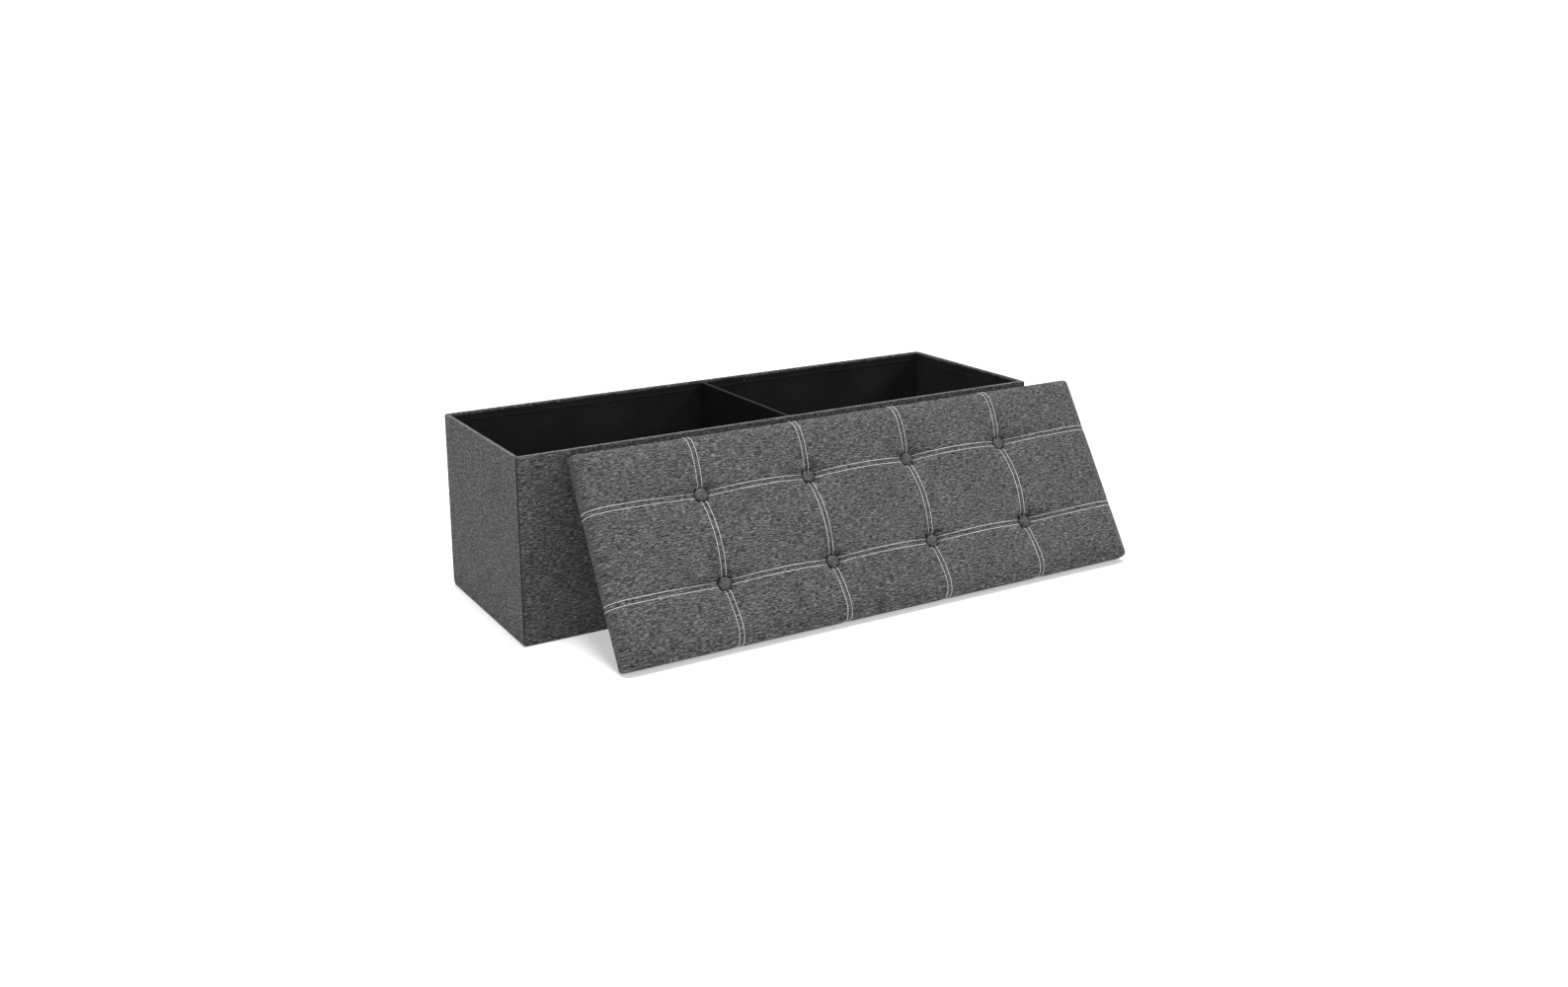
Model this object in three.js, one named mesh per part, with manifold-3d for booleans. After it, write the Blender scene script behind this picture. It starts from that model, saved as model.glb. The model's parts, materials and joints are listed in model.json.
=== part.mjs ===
// Folding storage bench: a fabric-covered box on the floor with a loose, tufted lid leaning on its front.
// Millimetres, +X along the length, +Y to the back, +Z up; the origin is on the floor under the box's centre.
// The end panels and the divider are pairs of leaves that fold inwards between the front and back walls.
import * as THREE from 'three';
import { mergeVertices } from 'three/addons/utils/BufferGeometryUtils.js';
import Module from 'manifold-3d';

// Overall sizes
const LENGTH = 1100;
const DEPTH = 380;
const BOX_HEIGHT = 342;
const LID_THICKNESS = 40;

// Walls, from the outer fabric to the inner lining
const COVER = 1;
const BOARD = 5;
const LINING = 0.8;
const GAP = 0.3; // left between pieces that touch
const WALL = COVER + GAP + BOARD + GAP + LINING;
const RIM_TURNOVER = 5; // outer fabric folded over the rim, down the inner face

// Folding joints
const CORNER_CLEARANCE = 0.5; // leaf end to the wall it is hinged on
const FOLD_CLEARANCE = 0.25; // from each leaf to the fold line between two leaves
const WALL_FOOT = 8; // the walls and leaves pass over the base boards at this height

// Divider between the two compartments
const DIVIDER = LINING + GAP + BOARD + GAP + LINING;
const DIVIDER_DROP = 4; // its top edge below the rim

// Bottom cloth and the loose base boards that lie on it
const BOTTOM_CLOTH = 1;
const BASE_BOARD = 3;
const BASE_CLEARANCE = 2;
const RIBBON = { length: 90, width: 15, thickness: 1, inset: 25 };

// Lid
const LEAN = 31; // degrees from upright
const LID_SHIFT = 92; // the leaning lid's centre to the right of the box's
const LEAN_GAP = 0.5; // lid's top edge to the front wall
const LID_COVER = 1.2;
const LID_BOARD = 6;
const PAD_EDGE_RADIUS = 22;
const UNDERSIDE_MARGIN = 12; // lid edge to the underside cloth
const COVER_RETURN = 30; // lid fabric stapled under the board
const STRIP = { width: 12, height: 6, inset: 7 }; // locating strips, inset from the inner face of the walls
const STRIP_END_GAP = 20;

// Tufting
const BUTTON_COLUMNS = 4;
const BUTTON_SPACING = 220;
const BUTTON_ROW_SPACING = 162;
const BUTTON = { radius: 13, height: 7 };
const DIMPLE = { depth: 20, topRadius: 34, bottomRadius: 15 };
const TIE = { radius: 1, washerRadius: 9 };
const TIE_HOLE_RADIUS = 2;

const wasm = await Module();
wasm.setup();

const degrees = THREE.MathUtils.degToRad;

function fabric(color) {
  return new THREE.MeshStandardMaterial({ color, roughness: 0.95, metalness: 0 });
}

const paint = {
  cover: () => fabric(0x55585b),
  lining: () => fabric(0x1b1b1d),
  ribbon: () => fabric(0x242426),
  foam: () => fabric(0xe8e2cc),
  board: () => new THREE.MeshStandardMaterial({ color: 0xa98458, roughness: 0.8, metalness: 0 }),
  metal: () => new THREE.MeshStandardMaterial({ color: 0x9a9a9a, roughness: 0.35, metalness: 0.9 }),
};

function addPart(group, name, geometry, material) {
  const mesh = new THREE.Mesh(geometry, material);
  mesh.name = name;
  group.add(mesh);
}

// A box between two opposite corners
function block([x0, y0, z0], [x1, y1, z1]) {
  const geometry = new THREE.BoxGeometry(x1 - x0, y1 - y0, z1 - z0);
  return geometry.translate((x0 + x1) / 2, (y0 + y1) / 2, (z0 + z1) / 2);
}

// A solid of revolution about Z from [radius, height] points
function turned(points, segments = 24) {
  const profile = points.map(([radius, height]) => new THREE.Vector2(radius, height));
  return new THREE.LatheGeometry(profile, segments).rotateX(Math.PI / 2);
}

function solid(geometry) {
  const bare = geometry.clone();
  bare.deleteAttribute('normal');
  bare.deleteAttribute('uv');
  const merged = mergeVertices(bare, 1e-4);
  const vertProperties = new Float32Array(merged.attributes.position.array);
  const triVerts = new Uint32Array(merged.index.array);
  return new wasm.Manifold(new wasm.Mesh({ numProp: 3, vertProperties, triVerts }));
}

function geometryOf(manifold) {
  const mesh = manifold.getMesh();
  const geometry = new THREE.BufferGeometry();
  geometry.setAttribute('position', new THREE.BufferAttribute(mesh.vertProperties, 3));
  geometry.setIndex(new THREE.BufferAttribute(mesh.triVerts, 1));
  return geometry;
}

function cut(geometry, ...tools) {
  return geometryOf(tools.reduce((left, tool) => left.subtract(solid(tool)), solid(geometry)));
}

function join(...geometries) {
  return geometryOf(geometries.map(solid).reduce((sum, next) => sum.add(next)));
}

// ---- Walls and leaves ----
// A panel's own frame: X along it from 0 to its length, Y from its outer face inwards, Z up.

function panelBoard(length) {
  const inset = COVER + GAP;
  return block(
    [inset, inset, WALL_FOOT + inset],
    [length - inset, inset + BOARD, BOX_HEIGHT - inset],
  );
}

// Outer fabric: a tray over the board, turned over the rim and down its inner face
function panelCover(length) {
  const shell = block([0, 0, WALL_FOOT], [length, WALL, BOX_HEIGHT]);
  const pocket = block(
    [COVER, COVER, WALL_FOOT + COVER],
    [length - COVER, WALL + COVER, BOX_HEIGHT - COVER],
  );
  const turnover = block(
    [COVER / 2, WALL - LINING, BOX_HEIGHT - RIM_TURNOVER],
    [length - COVER / 2, WALL, BOX_HEIGHT - COVER / 2],
  );
  return join(cut(shell, pocket), turnover);
}

function panelLining(length) {
  const inset = COVER + GAP;
  return block(
    [inset, WALL - LINING, WALL_FOOT + inset],
    [length - inset, WALL, BOX_HEIGHT - RIM_TURNOVER - GAP],
  );
}

function panel(name, length, position, turn) {
  const group = new THREE.Group();
  addPart(group, `${name}_board`, panelBoard(length), paint.board());
  addPart(group, `${name}_cover`, panelCover(length), paint.cover());
  addPart(group, `${name}_lining`, panelLining(length), paint.lining());
  group.position.set(...position);
  group.rotation.z = degrees(turn);
  return group;
}

const LEAF = DEPTH / 2 - WALL - CORNER_CLEARANCE - FOLD_CLEARANCE;

function walls() {
  const group = new THREE.Group();
  const corner = DEPTH / 2 - WALL - CORNER_CLEARANCE;
  group.add(panel('front', LENGTH, [-LENGTH / 2, -DEPTH / 2, 0], 0));
  group.add(panel('back', LENGTH, [LENGTH / 2, DEPTH / 2, 0], 180));
  group.add(panel('left_front', LEAF, [-LENGTH / 2, -FOLD_CLEARANCE, 0], -90));
  group.add(panel('left_rear', LEAF, [-LENGTH / 2, corner, 0], -90));
  group.add(panel('right_front', LEAF, [LENGTH / 2, -corner, 0], 90));
  group.add(panel('right_rear', LEAF, [LENGTH / 2, FOLD_CLEARANCE, 0], 90));
  return group;
}

// ---- Divider ----

// Black sleeve over a divider leaf, open at the bottom where the board slides in
function dividerSleeve() {
  const top = BOX_HEIGHT - DIVIDER_DROP;
  const sleeve = block([0, 0, WALL_FOOT], [LEAF, DIVIDER, top]);
  const pocket = block(
    [LINING, LINING, WALL_FOOT - 1],
    [LEAF - LINING, DIVIDER - LINING, top - LINING],
  );
  return cut(sleeve, pocket);
}

function dividerBoard() {
  const inset = LINING + GAP;
  return block(
    [inset, inset, WALL_FOOT],
    [LEAF - inset, inset + BOARD, BOX_HEIGHT - DIVIDER_DROP - inset],
  );
}

function divider() {
  const group = new THREE.Group();
  const ends = { front: -FOLD_CLEARANCE, rear: DEPTH / 2 - WALL - CORNER_CLEARANCE };
  for (const [name, y] of Object.entries(ends)) {
    const leaf = new THREE.Group();
    addPart(leaf, `divider_${name}_board`, dividerBoard(), paint.board());
    addPart(leaf, `divider_${name}_cover`, dividerSleeve(), paint.lining());
    leaf.position.set(-DIVIDER / 2, y, 0);
    leaf.rotation.z = degrees(-90);
    group.add(leaf);
  }
  return group;
}

// ---- Bottom ----

// Hem of the outer fabric along the foot of each wall, sewn to the bottom cloth
function hems() {
  const group = new THREE.Group();
  const top = WALL_FOOT - GAP;
  const x = LENGTH / 2;
  const y = DEPTH / 2;
  const endFrom = -y + WALL + GAP;
  const endTo = y - WALL - GAP;
  addPart(group, 'hem_front', block([-x, -y, 0], [x, -y + WALL, top]), paint.cover());
  addPart(group, 'hem_back', block([-x, y - WALL, 0], [x, y, top]), paint.cover());
  addPart(group, 'hem_left', block([-x, endFrom, 0], [-x + WALL, endTo, top]), paint.cover());
  addPart(group, 'hem_right', block([x - WALL, endFrom, 0], [x, endTo, top]), paint.cover());
  return group;
}

function bottomCloth() {
  const group = new THREE.Group();
  const x = LENGTH / 2 - WALL - GAP;
  const y = DEPTH / 2 - WALL - GAP;
  addPart(group, 'bottom_cloth', block([-x, -y, 0], [x, y, BOTTOM_CLOTH]), paint.lining());
  return group;
}

const BASE_LENGTH = LENGTH / 2 - WALL - DIVIDER / 2 - 2 * BASE_CLEARANCE;
const BASE_DEPTH = DEPTH - 2 * WALL - 2 * BASE_CLEARANCE;

// A loose base board in its cloth, with a pull ribbon; X runs away from the divider
function baseBoard(side) {
  const group = new THREE.Group();
  const foot = BOTTOM_CLOTH + GAP;
  const inset = LINING + GAP;
  const top = foot + BASE_BOARD + inset;
  const board = block(
    [inset, -BASE_DEPTH / 2 + inset, foot],
    [BASE_LENGTH - inset, BASE_DEPTH / 2 - inset, foot + BASE_BOARD],
  );
  const cloth = cut(
    block([0, -BASE_DEPTH / 2, foot], [BASE_LENGTH, BASE_DEPTH / 2, top]),
    block(
      [LINING, -BASE_DEPTH / 2 + LINING, foot - 1],
      [BASE_LENGTH - LINING, BASE_DEPTH / 2 - LINING, top - LINING],
    ),
  );
  const ribbon = block(
    [RIBBON.inset, -RIBBON.width / 2, top + GAP],
    [RIBBON.inset + RIBBON.length, RIBBON.width / 2, top + GAP + RIBBON.thickness],
  );
  addPart(group, `${side}_base_board`, board, paint.board());
  addPart(group, `${side}_base_cover`, cloth, paint.lining());
  addPart(group, `${side}_base_ribbon`, ribbon, paint.ribbon());
  const offset = DIVIDER / 2 + BASE_CLEARANCE;
  group.position.x = side === 'left' ? -offset : offset;
  group.rotation.z = side === 'left' ? Math.PI : 0;
  return group;
}

// ---- Lid ----
// The lid's own frame: X along it, Y from its lower to its upper long edge as it leans, Z out of the pad.

// A slab standing on z = 0 with its upper edges rounded
function padSlab(inset, top) {
  const radius = PAD_EDGE_RADIUS - inset;
  const x = LENGTH / 2 - inset;
  const y = DEPTH / 2 - inset;
  const outline = new THREE.Shape();
  outline.moveTo(-x, -y);
  outline.lineTo(x, -y);
  outline.lineTo(x, y);
  outline.lineTo(-x, y);
  outline.closePath();
  const doubled = new THREE.ExtrudeGeometry(outline, {
    depth: 2 * (top - radius),
    bevelThickness: radius,
    bevelSize: radius,
    bevelOffset: -radius,
    bevelSegments: 6,
  });
  doubled.translate(0, 0, radius - top);
  return cut(doubled, block([-x - 1, -y - 1, -top - 1], [x + 1, y + 1, 0]));
}

function buttonPlaces() {
  const places = [];
  for (const y of [BUTTON_ROW_SPACING / 2, -BUTTON_ROW_SPACING / 2]) {
    for (let column = 0; column < BUTTON_COLUMNS; column += 1) {
      places.push([(column - (BUTTON_COLUMNS - 1) / 2) * BUTTON_SPACING, y]);
    }
  }
  return places;
}

const DIMPLE_FLOOR = LID_THICKNESS - DIMPLE.depth;

// The space a button pulls out of the pad, grown by a skin's thickness
function dimples(skin) {
  const floor = DIMPLE_FLOOR - skin;
  const slope = (DIMPLE.topRadius - DIMPLE.bottomRadius) / DIMPLE.depth;
  const bottom = DIMPLE.bottomRadius + skin;
  const topHeight = LID_THICKNESS + 1;
  const top = bottom + slope * (topHeight - floor);
  const cone = [[0, floor], [bottom, floor], [top, topHeight], [0, topHeight]];
  return buttonPlaces().map(([x, y]) => turned(cone).translate(x, y, 0));
}

function tieHoles() {
  const hole = [[0, -1], [TIE_HOLE_RADIUS, -1], [TIE_HOLE_RADIUS, DIMPLE_FLOOR + 1], [0, DIMPLE_FLOOR + 1]];
  return buttonPlaces().map(([x, y]) => turned(hole, 12).translate(x, y, 0));
}

function lidCover() {
  const outside = cut(padSlab(0, LID_THICKNESS), ...dimples(0));
  const floorBlock = block([-LENGTH, -DEPTH, -1], [LENGTH, DEPTH, LID_COVER]);
  const hollow = cut(padSlab(LID_COVER, LID_THICKNESS - LID_COVER), floorBlock, ...dimples(LID_COVER));
  const x = LENGTH / 2 - COVER_RETURN;
  const y = DEPTH / 2 - COVER_RETURN;
  const mouth = block([-x, -y, -1], [x, y, LID_COVER + 1]);
  return cut(outside, hollow, mouth, ...tieHoles());
}

const LID_BOARD_FOOT = LID_COVER + GAP;
const FOAM_FOOT = LID_BOARD_FOOT + LID_BOARD + GAP;

function lidFoam() {
  const inset = LID_COVER + GAP;
  const below = block([-LENGTH, -DEPTH, -1], [LENGTH, DEPTH, FOAM_FOOT]);
  return cut(padSlab(inset, LID_THICKNESS - inset), below, ...dimples(inset), ...tieHoles());
}

function lidBoard() {
  const x = LENGTH / 2 - LID_COVER - GAP;
  const y = DEPTH / 2 - LID_COVER - GAP;
  return cut(block([-x, -y, LID_BOARD_FOOT], [x, y, LID_BOARD_FOOT + LID_BOARD]), ...tieHoles());
}

function undersideCloth() {
  const x = LENGTH / 2 - UNDERSIDE_MARGIN;
  const y = DEPTH / 2 - UNDERSIDE_MARGIN;
  return block([-x, -y, -GAP - LINING], [x, y, -GAP]);
}

// Strips under the lid that drop inside the walls and keep it in place when it is closed
function lidStrips(group) {
  const top = -GAP - LINING - GAP;
  const x = LENGTH / 2 - WALL - STRIP.inset;
  const y = DEPTH / 2 - WALL - STRIP.inset;
  const longX = x - STRIP.width - STRIP_END_GAP;
  const shortY = y - STRIP.width - STRIP_END_GAP;
  const strips = {
    upper: [[-longX, y - STRIP.width], [longX, y]],
    lower: [[-longX, -y], [longX, -y + STRIP.width]],
    left: [[-x, -shortY], [-x + STRIP.width, shortY]],
    right: [[x - STRIP.width, -shortY], [x, shortY]],
  };
  for (const [name, [low, high]] of Object.entries(strips)) {
    const shape = block([...low, top - STRIP.height], [...high, top]);
    addPart(group, `lid_strip_${name}`, shape, paint.lining());
  }
}

// A covered button: flat under, domed on top
function buttonShape() {
  const profile = [[0, 0], [BUTTON.radius * 0.8, 0], [BUTTON.radius, BUTTON.height * 0.3]];
  const steps = 5;
  for (let step = 1; step < steps; step += 1) {
    const angle = (step / steps) * (Math.PI / 2);
    const rise = BUTTON.height * 0.7 * Math.sin(angle);
    profile.push([BUTTON.radius * Math.cos(angle), BUTTON.height * 0.3 + rise]);
  }
  profile.push([0, BUTTON.height]);
  return turned(profile);
}

// Cord from the button through the foam and board to a washer
function tieShape() {
  const profile = [
    [0, 0],
    [TIE.washerRadius, 0],
    [TIE.washerRadius, LID_COVER],
    [TIE.radius, LID_COVER],
    [TIE.radius, DIMPLE_FLOOR],
    [0, DIMPLE_FLOOR],
  ];
  return turned(profile, 16);
}

function lid() {
  const group = new THREE.Group();
  addPart(group, 'lid_cover', lidCover(), paint.cover());
  addPart(group, 'lid_foam', lidFoam(), paint.foam());
  addPart(group, 'lid_board', lidBoard(), paint.board());
  addPart(group, 'lid_underside', undersideCloth(), paint.lining());
  lidStrips(group);
  buttonPlaces().forEach(([x, y], index) => {
    const button = buttonShape().translate(x, y, DIMPLE_FLOOR + GAP);
    addPart(group, `button_${index + 1}`, button, paint.cover());
    addPart(group, `button_tie_${index + 1}`, tieShape().translate(x, y, 0), paint.metal());
  });
  const lean = degrees(LEAN);
  group.rotation.x = Math.PI / 2 - lean;
  group.position.set(
    LID_SHIFT,
    -DEPTH / 2 - LEAN_GAP - (DEPTH / 2) * Math.sin(lean),
    (DEPTH / 2) * Math.cos(lean),
  );
  return group;
}

const bench = new THREE.Group();
bench.add(walls(), divider(), hems(), bottomCloth());
bench.add(baseBoard('left'), baseBoard('right'), lid());

export default bench;
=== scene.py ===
"""Folding storage bench: fabric, lining, tufted lid and studio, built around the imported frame."""
import json
import math

import bpy
import numpy as np
from mathutils import Matrix, Vector

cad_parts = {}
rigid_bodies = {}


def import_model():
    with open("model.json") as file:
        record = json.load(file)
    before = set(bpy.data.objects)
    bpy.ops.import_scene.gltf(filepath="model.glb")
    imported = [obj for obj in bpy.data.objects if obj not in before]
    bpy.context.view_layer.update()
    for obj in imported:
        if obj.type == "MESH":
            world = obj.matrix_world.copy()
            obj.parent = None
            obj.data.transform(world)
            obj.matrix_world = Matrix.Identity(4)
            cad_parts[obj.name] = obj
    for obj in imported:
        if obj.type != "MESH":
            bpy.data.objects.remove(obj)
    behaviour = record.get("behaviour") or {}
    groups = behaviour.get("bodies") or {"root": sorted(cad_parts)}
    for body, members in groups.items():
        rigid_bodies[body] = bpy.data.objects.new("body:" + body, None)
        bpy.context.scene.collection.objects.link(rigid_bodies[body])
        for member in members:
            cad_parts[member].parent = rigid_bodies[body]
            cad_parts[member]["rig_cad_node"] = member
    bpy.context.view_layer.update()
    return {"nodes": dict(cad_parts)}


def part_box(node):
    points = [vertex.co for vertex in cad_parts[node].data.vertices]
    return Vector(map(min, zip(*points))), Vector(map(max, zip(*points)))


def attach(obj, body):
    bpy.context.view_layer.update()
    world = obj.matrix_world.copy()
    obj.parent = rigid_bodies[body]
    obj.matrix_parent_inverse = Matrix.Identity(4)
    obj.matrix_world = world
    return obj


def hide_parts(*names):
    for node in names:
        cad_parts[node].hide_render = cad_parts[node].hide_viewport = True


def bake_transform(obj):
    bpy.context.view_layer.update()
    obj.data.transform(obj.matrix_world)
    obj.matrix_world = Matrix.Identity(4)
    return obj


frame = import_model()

MM = 0.001
TINY = 1e-12

# ---- Sizes read from the frame ----

front_low, front_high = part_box("front_cover")
lid_low, lid_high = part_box("lid_cover")

HALF_LENGTH = front_high.x
HALF_DEPTH = -front_low.y
WALL = front_high.y - front_low.y
RIM = front_high.z
FOOT = front_low.z
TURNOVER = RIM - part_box("front_lining")[1].z

# ---- Sizes of the sewn work, in metres ----

COVER_SHEET = 0.9 * MM
COVER_SINK = 0.22 * MM
YARN_PITCH = 1.3 * MM
RIB_PITCH = 1.1 * MM
LINING_SHEET = 0.6 * MM
LINING_SETBACK = 0.55 * MM
LINING_TOP = RIM - TURNOVER + 1.5 * MM
LINING_WAVE = 0.25 * MM
BAND_WAVE = 0.3 * MM
BOTTOM_WAVE = 0.2 * MM
THIN_CLOTH = 0.5 * MM
TAPE = 0.4 * MM
RIBBON_THICKNESS = 0.7 * MM
RIM_RADIUS = 2.6 * MM
CORNER_RADIUS = 0.9 * MM
FOOT_RADIUS = 5 * MM
CORNER_ZONE = 8 * MM
# Radius of the near-black cord of painted shade in each upright corner's valley.
CORNER_SHADE_RADIUS = 1.5 * MM
HEM_BAND = 12.5 * MM
CREASE_HALF = 3 * MM
CREASE_DEPTH = 0.7 * MM
BLEND_CUT = 24 * MM
EDGE_FADE = 30 * MM
SHORT_FADE = 20 * MM
NARROWEST_SHEET = 10.5 * MM

LEAN = math.radians(31)
LID_THICKNESS = 40 * MM
PAD_RADIUS = 22 * MM
PAD_FALL = 48 * MM
PAD_SIDE = LID_THICKNESS - PAD_RADIUS
COVER_RETURN = 30 * MM
SEAM_XS = [-330 * MM, -110 * MM, 110 * MM, 330 * MM]
SEAM_YS = [-81 * MM, 81 * MM]
BUTTON_DEPTH = 24 * MM
UNDER_BUTTON = 13.4 * MM
PAD_SWELL = 7 * MM
SEAM_DEPTH = 1.0 * MM
CROWN = 4.0 * MM
STITCH_OFFSET = 4.6 * MM
RELAX_ROUNDS = 1500

# The share of a radius where a 45 degree mitre meets its rounding.
MITRE_SHARE = 0.293

# One seed for an end panel's pieces, so that their unevenness meets where they are cut.
END_SEED = 21

# The corner whose hinge is open in the tree of joints.
OPEN_PIVOT = ("right", "rear")


# ---- Mesh helpers ----

def new_object(name, vertices, faces, uvs=None):
    """A mesh object; uvs holds one (u, v) in metres for each vertex."""
    mesh = bpy.data.meshes.new(name)
    mesh.from_pydata([tuple(v) for v in vertices], [], [tuple(f) for f in faces])
    if uvs is not None:
        layer = mesh.uv_layers.new(name="Weave")
        corners = np.zeros(len(mesh.loops), np.int32)
        mesh.loops.foreach_get("vertex_index", corners)
        layer.data.foreach_set("uv", np.asarray(uvs, np.float32)[corners].ravel())
    mesh.validate()
    piece = bpy.data.objects.new(name, mesh)
    bpy.context.scene.collection.objects.link(piece)
    return piece


def grid_faces(rows, columns, closed=False, flip=False):
    """Quads of a rows x columns vertex grid; closed joins the last column to the first."""
    faces = []
    for i in range(rows - 1):
        for j in range(columns if closed else columns - 1):
            k = (j + 1) % columns
            quad = (i * columns + j, i * columns + k, (i + 1) * columns + k, (i + 1) * columns + j)
            faces.append(quad[::-1] if flip else quad)
    return faces


def tube_faces(rings, sides, flip_caps=False):
    """Quads round a stack of rings, and a cap at each end, turned over where flip_caps is set."""
    last = (rings - 1) * sides
    caps = [tuple(range(sides)), tuple(range(last, last + sides))[::-1]]
    if flip_caps:
        caps = [cap[::-1] for cap in caps]
    return grid_faces(rings, sides, closed=True) + caps


def circle(sides):
    """Cosine and sine at even steps round a full turn."""
    turns = [2 * math.pi * k / sides for k in range(sides)]
    return [(math.cos(turn), math.sin(turn)) for turn in turns]


def apply_modifiers(piece):
    depsgraph = bpy.context.evaluated_depsgraph_get()
    baked = bpy.data.meshes.new_from_object(piece.evaluated_get(depsgraph), depsgraph=depsgraph)
    piece.modifiers.clear()
    old = piece.data
    piece.data = baked
    bpy.data.meshes.remove(old)


def thicken(piece, thickness):
    """Gives a surface its thickness, on the side away from its normals."""
    modifier = piece.modifiers.new("Thickness", "SOLIDIFY")
    modifier.thickness = thickness
    modifier.offset = -1.0
    modifier.use_even_offset = True
    apply_modifiers(piece)


def subdivide(piece):
    modifier = piece.modifiers.new("Smooth", "SUBSURF")
    modifier.levels = 1
    modifier.render_levels = 1
    apply_modifiers(piece)


def smooth(piece, angle=35):
    piece.data.polygons.foreach_set("use_smooth", [True] * len(piece.data.polygons))
    piece.data.set_sharp_from_angle(angle=math.radians(angle))


def cloth(name, vertices, rows, columns, uvs, thickness, flip=False, angle=50):
    """Cloth of some thickness over a rows x columns grid of vertices."""
    piece = new_object(name, vertices, grid_faces(rows, columns, flip=flip), uvs)
    thicken(piece, thickness)
    smooth(piece, angle)
    return piece


def finish_piece(piece, body, material, slot, *nodes):
    piece.data.materials.clear()
    piece.data.materials.append(material)
    if body:
        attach(piece, body)
    if nodes:
        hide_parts(*nodes)
    return piece


def ripple(u, v, scale, seed):
    """Smooth, repeatable unevenness between -1 and 1 at points u, v."""
    count = 7
    waves = np.random.default_rng(seed)
    total = np.zeros_like(u, dtype=float)
    for _ in range(count):
        direction = waves.uniform(0, 2 * math.pi)
        length = scale * waves.uniform(0.6, 1.8)
        phase = waves.uniform(0, 2 * math.pi)
        along = u * math.cos(direction) + v * math.sin(direction)
        total += np.sin(2 * math.pi * along / length + phase)
    return total / count * 1.6


def ripple_at(u, v, scale, seed):
    """The same unevenness at one point."""
    return ripple(np.array([u]), np.array([v]), scale, seed)[0]


# ---- Materials ----

class Nodes:
    """Short calls for building a node tree."""

    def __init__(self, name):
        self.material = bpy.data.materials.new(name)
        self.material.use_nodes = True
        self.tree = self.material.node_tree
        self.tree.nodes.clear()
        self.output = self.add("ShaderNodeOutputMaterial")
        self.shader = self.add("ShaderNodeBsdfPrincipled")
        self.link(self.shader.outputs[0], self.output.inputs[0])

    def add(self, kind, **settings):
        node = self.tree.nodes.new(kind)
        for key, value in settings.items():
            setattr(node, key, value)
        return node

    def link(self, source, target):
        self.tree.links.new(source, target)

    def math(self, operation, a, b=None):
        """A math node's output; a and b are sockets or numbers."""
        node = self.add("ShaderNodeMath", operation=operation)
        for socket, value in zip(node.inputs, (a, b)):
            if isinstance(value, (int, float)):
                socket.default_value = value
            elif value is not None:
                self.link(value, socket)
        return node.outputs[0]

    def total(self, *terms):
        """The sum of terms, each a source and its weight."""
        products = [self.math("MULTIPLY", source, weight) for source, weight in terms]
        result = products[0]
        for product in products[1:]:
            result = self.math("ADD", result, product)
        return result

    def weave_map(self):
        return self.add("ShaderNodeUVMap", uv_map="Weave").outputs[0]

    def object_map(self):
        return self.add("ShaderNodeTexCoord").outputs["Object"]

    def texture(self, kind, vector, scale, **settings):
        """A texture node whose vector is first multiplied by scale."""
        stretch = self.add("ShaderNodeVectorMath", operation="MULTIPLY")
        stretch.inputs[1].default_value = scale
        self.link(vector, stretch.inputs[0])
        node = self.add(kind, **settings)
        node.inputs["Scale"].default_value = 1.0
        self.link(stretch.outputs[0], node.inputs["Vector"])
        return node

    def noise(self, vector, scale, detail, roughness=0.5):
        node = self.texture("ShaderNodeTexNoise", vector, scale)
        node.inputs["Detail"].default_value = detail
        node.inputs["Roughness"].default_value = roughness
        return node.outputs[0]

    def cells(self, vector, scale, feature, randomness):
        node = self.texture("ShaderNodeTexVoronoi", vector, scale, feature=feature)
        node.inputs["Randomness"].default_value = randomness
        return node.outputs["Distance"]

    def waves(self, vector, axis, pitch):
        """Sine waves along one axis of the vector."""
        separate = self.add("ShaderNodeSeparateXYZ")
        self.link(vector, separate.inputs[0])
        return self.math("SINE", self.math("MULTIPLY", separate.outputs[axis], 2 * math.pi / pitch))

    def paint(self, factor, *stops):
        """Base colour from a ramp; each stop is a position and a colour."""
        node = self.add("ShaderNodeValToRGB")
        elements = node.color_ramp.elements
        while len(elements) < len(stops):
            elements.new(0.5)
        for element, (position, color) in zip(elements, stops):
            element.position = position
            element.color = (*color, 1)
        self.link(factor, node.inputs[0])
        self.link(node.outputs[0], self.shader.inputs["Base Color"])

    def bump(self, height, strength, distance):
        node = self.add("ShaderNodeBump")
        node.inputs["Strength"].default_value = strength
        node.inputs["Distance"].default_value = distance
        self.link(height, node.inputs["Height"])
        self.link(node.outputs[0], self.shader.inputs["Normal"])

    def set(self, **values):
        names = {"sheen": "Sheen Weight", "sheen_roughness": "Sheen Roughness",
                 "roughness": "Roughness", "metallic": "Metallic", "specular": "Specular IOR Level"}
        for key, value in values.items():
            self.shader.inputs[names[key]].default_value = value


def grey(value):
    """A grey with a trace of blue."""
    return (value, value, value * 1.005)


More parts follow.
